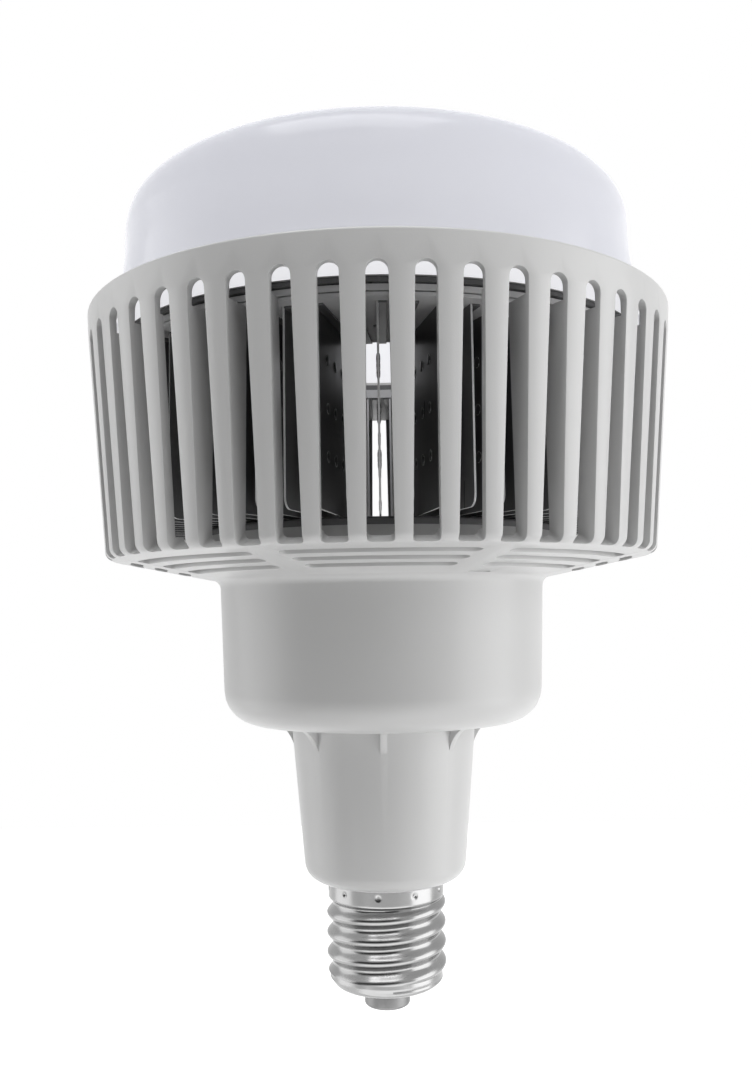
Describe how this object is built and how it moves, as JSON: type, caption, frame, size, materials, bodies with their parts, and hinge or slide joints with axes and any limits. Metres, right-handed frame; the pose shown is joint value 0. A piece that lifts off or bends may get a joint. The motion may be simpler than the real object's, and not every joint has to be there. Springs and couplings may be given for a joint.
{
  "type": "high bay light",
  "caption": "Screw-cap high bay lamp with a milky flat-topped diffuser, slotted round cage, radial cooling fins, driver neck and tapered collar.",
  "frame": {"origin": "on the lamp axis at the end face of the centre contact, where the lamp meets its holder", "axes": "+Z along the lamp axis from the screw cap to the crown of the diffuser; -Y is the front, facing the middle of one cage slot"},
  "size_m": [0.1938, 0.1937, 0.2727],
  "materials": {
    "housing_plastic": "satin",
    "diffuser_plastic": "glossy",
    "seal_rubber": "matte",
    "black_metal": "glossy",
    "dark_aluminium": "satin",
    "board_white": "satin",
    "led_phosphor": "glossy",
    "screw_steel": "satin",
    "terminal_plastic": "matte",
    "cover_plastic": "matte",
    "grommet_rubber": "matte",
    "board_green": "satin",
    "ferrite": "matte",
    "winding_tape": "satin",
    "capacitor_sleeve": "glossy",
    "choke_coat": "glossy",
    "film_yellow": "glossy",
    "black_resin": "matte",
    "bare_aluminium": "brushed",
    "fuse_body": "satin",
    "nickel": "bright",
    "cap_glass": "glossy",
    "contact_metal": "satin",
    "lead_red": "satin",
    "lead_black": "satin",
    "lead_brown": "satin",
    "lead_blue": "satin"
  },
  "bodies": {
    "root": {"housing": "housing_plastic", "diffuser": "diffuser_plastic", "diffuser_seal": "seal_rubber", "heat_spreader": "black_metal", "fin_ring": "dark_aluminium", "cooling_fins_1": "black_metal", "cooling_fins_2": "black_metal", "cooling_fins_3": "black_metal", "cooling_fins_4": "black_metal", "cooling_fins_5": "black_metal", "cooling_fins_6": "black_metal", "led_board": "board_white", "leds": "led_phosphor", "led_board_screws": "screw_steel", "fin_ring_screws": "screw_steel", "led_terminal": "terminal_plastic", "driver_cover": "cover_plastic", "cover_screws": "screw_steel", "grommet": "grommet_rubber", "driver_board": "board_green", "driver_board_screws": "screw_steel", "transformer_core": "ferrite", "transformer_winding": "winding_tape", "bulk_capacitors": "capacitor_sleeve", "line_choke": "choke_coat", "film_capacitor": "film_yellow", "rectifier": "black_resin", "heat_tab": "bare_aluminium", "transistor": "black_resin", "input_fuse": "fuse_body", "cap_shell": "nickel", "cap_insulator": "cap_glass", "centre_contact": "contact_metal", "led_lead_positive": "lead_red", "led_lead_negative": "lead_black", "live_lead": "lead_brown", "neutral_lead": "lead_blue"}
  },
  "joints": []
}
